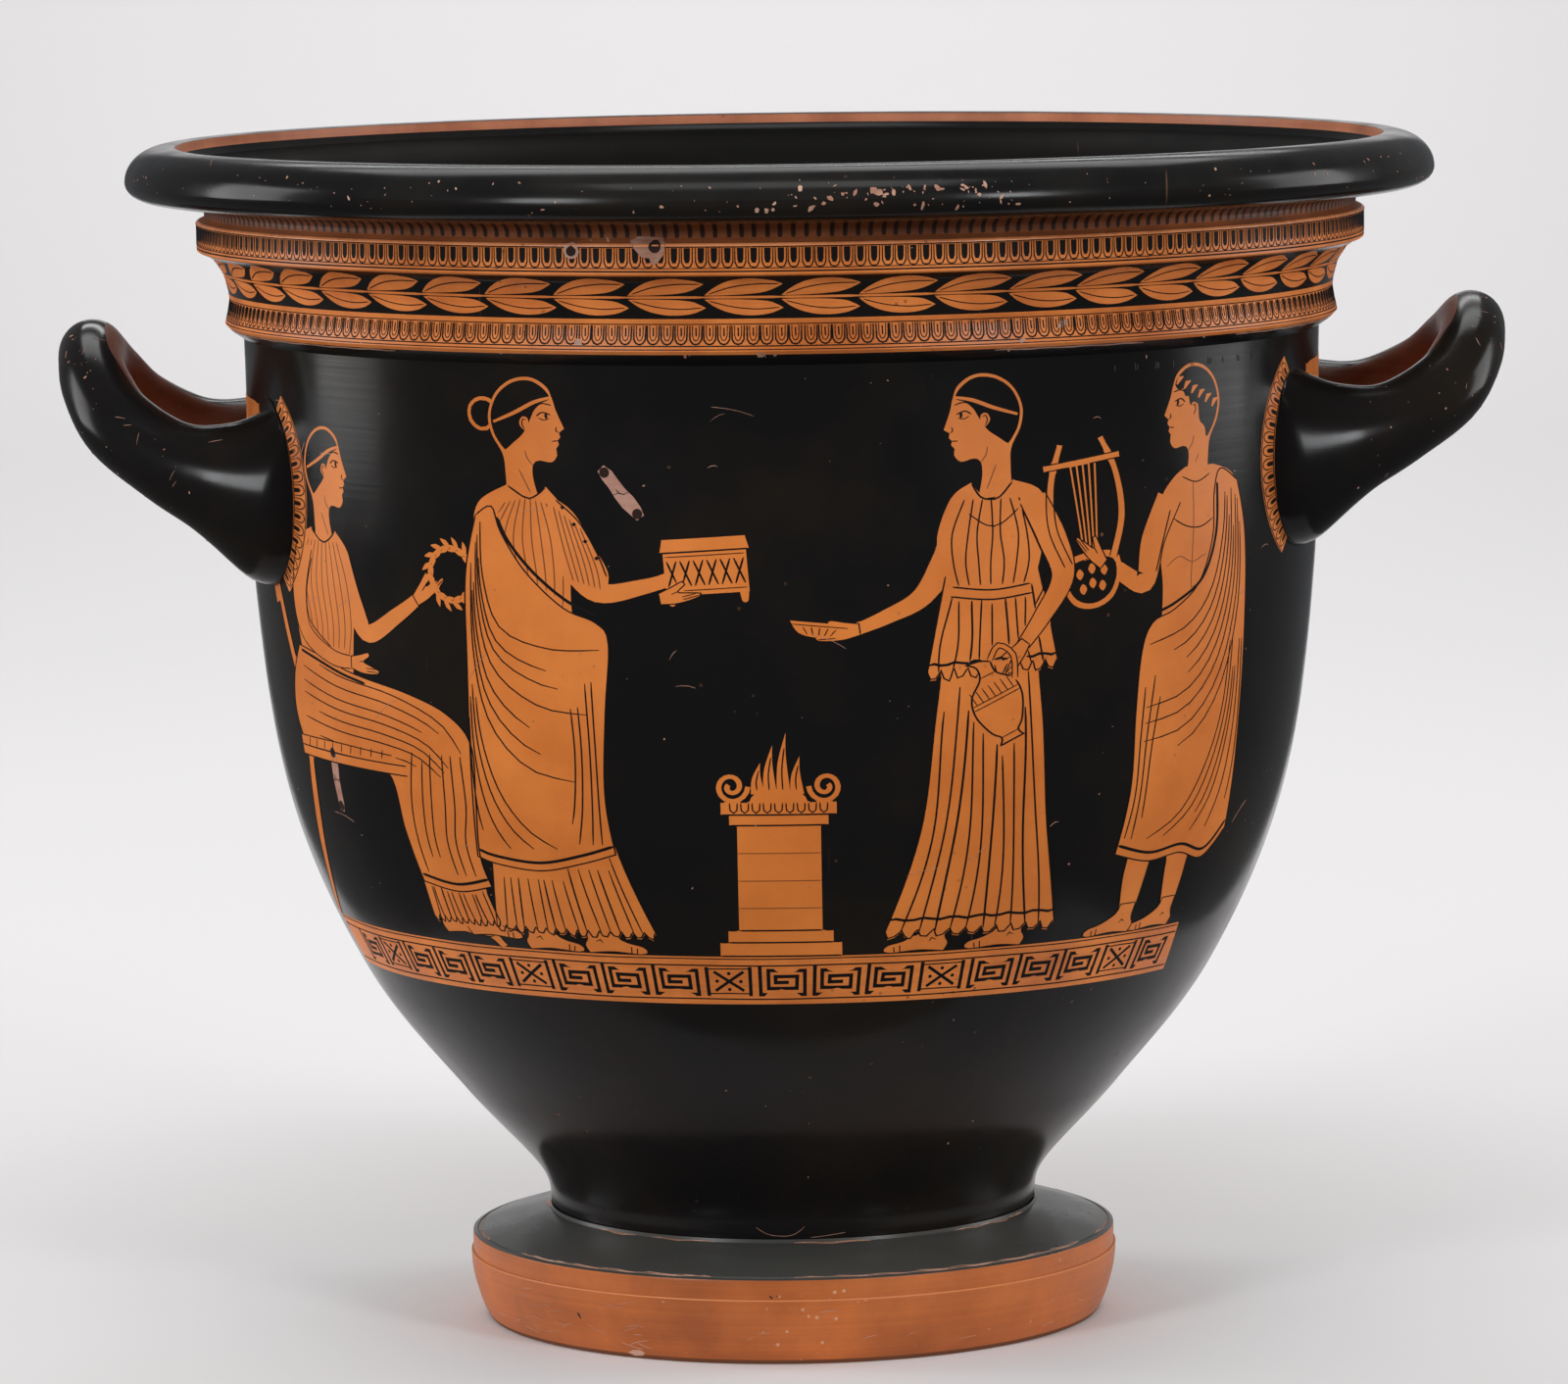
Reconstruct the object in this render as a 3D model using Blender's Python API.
"""Bell krater of fired clay: foot, stem, bowl, flared rim and two upturned loop handles, in one piece.

Metres, +Z up. The origin is the centre of the plane that the foot rests on, and the handles reach
along +X and -X.
"""
import math

import bmesh
import bpy
from mathutils import Vector

# Foot, from the resting ring up
REST_RADIUS = 0.1062
REST_WIDTH = 0.0080
FOOT_RADIUS = 0.1137
FOOT_HEIGHT = 0.0300
FOOT_BULGE_SHARE = 0.82
FOOT_EDGE_SET_BACK = 0.0010
FOOT_TOP_RISE = 0.0085
RECESS_DEPTH = 0.0300

# Bowl, from the stem to the ledge under the rim
STEM_RADIUS = 0.0846
BOWL_RADIUS = 0.1873
BOWL_HEIGHT = 0.3080
WALL_THICKNESS = 0.0085
FLOOR_THICKNESS = 0.0180
BOWL_SHARES = ((0.046, 0.049), (0.302, 0.144), (0.619, 0.281), (0.867, 0.475), (0.977, 0.719))

# Rim: ledge, waist, flare, fillet, hollow moulding and overhanging lip
LEDGE_OVERHANG = 0.0062
LEDGE_HEIGHT = 0.0050
WAIST_DEPTH = 0.0017
WAIST_HEIGHT = 0.0080
FLARE_SPREAD = 0.0060
FLARE_HEIGHT = 0.0152
FILLET_RADIUS = 0.2029
FILLET_STEP = 0.0024
FILLET_HEIGHT = 0.0088
ROLL_HEIGHT = 0.0028
HOLLOW_DEPTH = 0.0029
HOLLOW_HEIGHT = 0.0057
LIP_RADIUS = 0.2275
LIP_EDGE_WIDTH = 0.0050
LIP_EDGE_HEIGHT = 0.0065
LIP_RISE = 0.0122
LIP_CREST_WIDTH = 0.0119
MOUTH_EDGE_WIDTH = 0.0052
MOUTH_EDGE_DROP = 0.0060

# Handles: height of the roots' middle and of the tip's middle, for each side
ROOT_HEIGHTS = {"left": 0.2970, "right": 0.3060}
TIP_HEIGHTS = {"left": 0.3413, "right": 0.3450}
HANDLE_REACH = 0.2520
TIP_THICKNESS = 0.0226
ARM_THICKNESS = 0.0270
ROOT_LENGTH = 0.0620
ROOT_WIDTH = 0.0480
ROOT_ANGLE_DEG = 19.0
ROOT_DEPTH = 0.0140

# Fineness of the mesh
TURNS = 60
OUTER_STEPS = 3
INNER_STEPS = 2
HANDLE_RINGS = 32
HANDLE_SIDES = 14

# Clay finish
GLOSS_COLOUR = (0.018, 0.016, 0.017, 1.0)
GLOSS_ROUGHNESS = 0.22

STEM_BASE = FOOT_HEIGHT + FOOT_TOP_RISE
BOWL_TOP = STEM_BASE + BOWL_HEIGHT
LEDGE_RADIUS = BOWL_RADIUS + LEDGE_OVERHANG
LEDGE_TOP = BOWL_TOP + LEDGE_HEIGHT
WAIST_RADIUS = LEDGE_RADIUS - WAIST_DEPTH
WAIST_LEVEL = LEDGE_TOP + WAIST_HEIGHT
FLARE_RADIUS = WAIST_RADIUS + FLARE_SPREAD
FLARE_TOP = WAIST_LEVEL + FLARE_HEIGHT
FILLET_BASE = FLARE_TOP + FILLET_STEP
FILLET_TOP = FILLET_BASE + FILLET_HEIGHT
HOLLOW_RADIUS = FILLET_RADIUS - HOLLOW_DEPTH
HOLLOW_BASE = FILLET_TOP + ROLL_HEIGHT
LIP_BASE = HOLLOW_BASE + HOLLOW_HEIGHT
LIP_EDGE_LEVEL = LIP_BASE + LIP_EDGE_HEIGHT
LIP_CREST_RADIUS = LIP_RADIUS - LIP_CREST_WIDTH
TOP = LIP_EDGE_LEVEL + LIP_RISE
MOUTH_RADIUS = LIP_CREST_RADIUS - MOUTH_EDGE_WIDTH


def clear_scene():
    for item in list(bpy.data.objects):
        bpy.data.objects.remove(item, do_unlink=True)


def smooth_path(points, steps):
    """Points along a Catmull-Rom curve through the given points, in as many even steps per stretch."""
    ends = [2 * points[0] - points[1]] + list(points) + [2 * points[-1] - points[-2]]
    path = [points[0].copy()]
    for before, start, end, after in zip(ends, ends[1:], ends[2:], ends[3:]):
        for step in range(1, steps + 1):
            t = step / steps
            path.append(0.5 * (2 * start + (end - before) * t
                               + (2 * before - 5 * start + 4 * end - after) * t ** 2
                               + (3 * start - before - 3 * end + after) * t ** 3))
    return path


def radial(points):
    """Radius and height pairs as vectors in the plane of the profile."""
    return [Vector((radius, 0.0, height)) for radius, height in points]


def bowl_wall(steps):
    """The outside of the bowl, from the stem to the ledge under the rim."""
    spread = BOWL_RADIUS - STEM_RADIUS
    stations = [(STEM_RADIUS, STEM_BASE)]
    stations += [(STEM_RADIUS + across * spread, STEM_BASE + up * BOWL_HEIGHT) for across, up in BOWL_SHARES]
    stations.append((BOWL_RADIUS, BOWL_TOP))
    return smooth_path(radial(stations), steps)


def foot_side():
    """The foot from the edge of the resting ring up its swelling side to the rim of its top."""
    bulge = FOOT_BULGE_SHARE * FOOT_HEIGHT
    edge = FOOT_RADIUS - FOOT_EDGE_SET_BACK
    corner = REST_RADIUS + 0.15 * (FOOT_RADIUS - REST_RADIUS)
    middle = REST_RADIUS + 0.80 * (FOOT_RADIUS - REST_RADIUS)
    return smooth_path(radial([(REST_RADIUS, 0.0), (corner, 0.05 * FOOT_HEIGHT), (middle, 0.40 * FOOT_HEIGHT),
                               (FOOT_RADIUS, bulge), (edge, FOOT_HEIGHT)]), 2)


def foot_recess():
    """The hollow under the foot, from its middle out to the inner edge of the resting ring."""
    inner = REST_RADIUS - REST_WIDTH
    return smooth_path(radial([(0.0, RECESS_DEPTH), (0.55 * inner, 0.90 * RECESS_DEPTH),
                               (0.88 * inner, 0.56 * RECESS_DEPTH), (inner, 0.0)]), 2)


def rim_outside():
    """The mouldings from the ledge up to the crest of the lip."""
    flare = smooth_path(radial([(WAIST_RADIUS, WAIST_LEVEL),
                                (WAIST_RADIUS + 0.33 * FLARE_SPREAD, WAIST_LEVEL + 0.57 * FLARE_HEIGHT),
                                (FLARE_RADIUS, FLARE_TOP)]), 2)
    hollow = smooth_path(radial([(HOLLOW_RADIUS, HOLLOW_BASE),
                                 (HOLLOW_RADIUS + 0.25 * HOLLOW_DEPTH, LIP_BASE - 0.45 * HOLLOW_HEIGHT),
                                 (HOLLOW_RADIUS + 1.5 * HOLLOW_DEPTH, LIP_BASE)]), 1)
    lip = smooth_path(radial([(LIP_RADIUS - LIP_EDGE_WIDTH, LIP_BASE), (LIP_RADIUS, LIP_EDGE_LEVEL),
                              (LIP_RADIUS - 0.35 * LIP_CREST_WIDTH, TOP - 0.24 * LIP_RISE),
                              (LIP_CREST_RADIUS, TOP)]), 2)
    ledge = radial([(LEDGE_RADIUS, LEDGE_TOP)])
    fillet = radial([(FILLET_RADIUS, FILLET_BASE), (FILLET_RADIUS, FILLET_TOP)])
    return ledge + flare + fillet + hollow + lip


def inside_wall():
    """The inside, from the mouth down to the middle of the floor."""
    floor = RECESS_DEPTH + FLOOR_THICKNESS
    neck = WAIST_RADIUS - WALL_THICKNESS
    mouth = smooth_path(radial([(MOUTH_RADIUS + 0.45 * MOUTH_EDGE_WIDTH, TOP),
                                (MOUTH_RADIUS, TOP - MOUTH_EDGE_DROP),
                                (HOLLOW_RADIUS - 0.18 * WALL_THICKNESS, LIP_BASE + 0.5 * WALL_THICKNESS),
                                (HOLLOW_RADIUS - WALL_THICKNESS, HOLLOW_BASE),
                                (neck + 0.3 * FLARE_SPREAD, FLARE_TOP - 0.35 * FLARE_HEIGHT),
                                (neck - WAIST_DEPTH, LEDGE_TOP)]), 1)
    wall = bowl_wall(INNER_STEPS)
    offset = []
    for before, point, after in zip(wall, wall[1:], wall[2:]):
        along = (after - before).normalized()
        offset.append(point + Vector((-along.z, 0.0, along.x)) * WALL_THICKNESS)
    turn = STEM_RADIUS + BOWL_SHARES[1][0] * (BOWL_RADIUS - STEM_RADIUS)
    side = [point for point in reversed(offset) if point.x > turn - WALL_THICKNESS]
    last = side[-1]
    dish = last.z - floor
    bottom = [Vector((last.x * share, 0.0, floor + dish * share ** 2)) for share in (0.75, 0.5, 0.25, 0.0)]
    return mouth + side + bottom


def turned_solid(name, profile):
    """A closed solid of revolution about Z from a profile that starts and ends on the axis."""
    mesh = bpy.data.meshes.new(name)
    shape = bmesh.new()
    rings = []
    for point in profile:
        if point.x < 1e-9:
            rings.append([shape.verts.new(point)])
            continue
        turns = [math.tau * turn / TURNS for turn in range(TURNS)]
        rings.append([shape.verts.new((point.x * math.cos(a), point.x * math.sin(a), point.z)) for a in turns])
    for lower, upper in zip(rings, rings[1:]):
        for turn in range(TURNS):
            following = (turn + 1) % TURNS
            corners = [lower[turn % len(lower)], lower[following % len(lower)],
                       upper[following % len(upper)], upper[turn % len(upper)]]
            shape.faces.new(list(dict.fromkeys(corners)))
    bmesh.ops.recalc_face_normals(shape, faces=shape.faces)
    shape.to_mesh(mesh)
    shape.free()
    piece = bpy.data.objects.new(name, mesh)
    bpy.context.collection.objects.link(piece)
    return piece


def handle_arm(side):
    """Middle line of one arm from inside the wall to the tip, and its height and width there."""
    root = ROOT_HEIGHTS[side]
    rise = TIP_HEIGHTS[side] - root
    angle = math.radians(ROOT_ANGLE_DEG)
    wall_x = BOWL_RADIUS * math.cos(angle)
    wall_y = BOWL_RADIUS * math.sin(angle)
    tip_x = HANDLE_REACH - TIP_THICKNESS / 2
    reach = tip_x - wall_x
    stations = ((wall_x - ROOT_DEPTH, wall_y - 0.2 * ROOT_DEPTH, 0.0, 1.08 * ROOT_LENGTH, 1.05 * ROOT_WIDTH),
                (wall_x, wall_y, 0.0, ROOT_LENGTH, ROOT_WIDTH),
                (wall_x + 0.26 * reach, wall_y, 0.09, 1.50 * ARM_THICKNESS, 1.32 * ARM_THICKNESS),
                (wall_x + 0.52 * reach, 0.92 * wall_y, 0.22, 1.10 * ARM_THICKNESS, 1.04 * ARM_THICKNESS),
                (wall_x + 0.80 * reach, 0.71 * wall_y, 0.48, ARM_THICKNESS, 0.97 * ARM_THICKNESS),
                (wall_x + 0.94 * reach, 0.47 * wall_y, 0.76, 0.93 * ARM_THICKNESS, 0.9 * ARM_THICKNESS),
                (wall_x + 0.99 * reach, 0.23 * wall_y, 0.94, TIP_THICKNESS, TIP_THICKNESS),
                (tip_x, 0.0, 1.0, TIP_THICKNESS, TIP_THICKNESS))
    return [(Vector((x, y, root + share * rise)), Vector((tall, wide, 0.0))) for x, y, share, tall, wide in stations]


def handle(side):
    """One upturned loop handle: an oval bar that swells into the wall at both roots."""
    arm = handle_arm(side)
    flip = Vector((1.0, -1.0, 1.0))
    middles = [place for place, _ in arm] + [place * flip for place, _ in reversed(arm[:-1])]
    sizes = [size for _, size in arm] + [size for _, size in reversed(arm[:-1])]
    steps = max(2, round(HANDLE_RINGS / (len(middles) - 1)))
    path = smooth_path(middles, steps)
    spans = smooth_path(sizes, steps)
    mirror = -1.0 if side == "left" else 1.0
    shape = bmesh.new()
    rings = []
    for index, (place, span) in enumerate(zip(path, spans)):
        along = (path[min(index + 1, len(path) - 1)] - path[max(index - 1, 0)]).normalized()
        across = along.cross(Vector((0.0, 0.0, 1.0))).normalized()
        upward = across.cross(along)
        ring = []
        for corner in range(HANDLE_SIDES):
            turn = math.tau * corner / HANDLE_SIDES
            point = place + across * (span.y / 2 * math.cos(turn)) + upward * (span.x / 2 * math.sin(turn))
            ring.append(shape.verts.new((mirror * point.x, point.y, point.z)))
        rings.append(ring)
    for near, far in zip(rings, rings[1:]):
        for corner in range(HANDLE_SIDES):
            following = (corner + 1) % HANDLE_SIDES
            shape.faces.new((near[corner], near[following], far[following], far[corner]))
    shape.faces.new(rings[0])
    shape.faces.new(rings[-1])
    bmesh.ops.recalc_face_normals(shape, faces=shape.faces)
    mesh = bpy.data.meshes.new("handle_" + side)
    shape.to_mesh(mesh)
    shape.free()
    piece = bpy.data.objects.new("handle_" + side, mesh)
    bpy.context.collection.objects.link(piece)
    return piece


def join(piece, other, operation):
    """Adds a hidden operand to the piece, or cuts it out."""
    boolean = piece.modifiers.new(operation.lower() + "_" + other.name, "BOOLEAN")
    boolean.operation = operation
    boolean.object = other
    boolean.solver = "EXACT"
    other.hide_render = True
    other.display_type = "WIRE"


def fired_clay():
    material = bpy.data.materials.new("black_gloss_clay")
    material.use_nodes = True
    surface = material.node_tree.nodes["Principled BSDF"]
    surface.inputs["Base Color"].default_value = GLOSS_COLOUR
    surface.inputs["Roughness"].default_value = GLOSS_ROUGHNESS
    surface.inputs["Metallic"].default_value = 0.0
    return material


def krater():
    """The blank is turned solid, takes its handles and is then hollowed."""
    blank = foot_recess() + foot_side() + bowl_wall(OUTER_STEPS) + rim_outside() + radial([(0.0, TOP)])
    piece = turned_solid("krater", blank)
    join(piece, handle("left"), "UNION")
    join(piece, handle("right"), "UNION")
    above = radial([(0.0, TOP + WALL_THICKNESS), (MOUTH_RADIUS + 0.45 * MOUTH_EDGE_WIDTH, TOP + WALL_THICKNESS)])
    join(piece, turned_solid("hollow", above + inside_wall()), "DIFFERENCE")
    piece.data.materials.append(fired_clay())
    piece.data.shade_smooth()
    piece.data.set_sharp_from_angle(angle=math.radians(35))
    return piece


clear_scene()
krater()
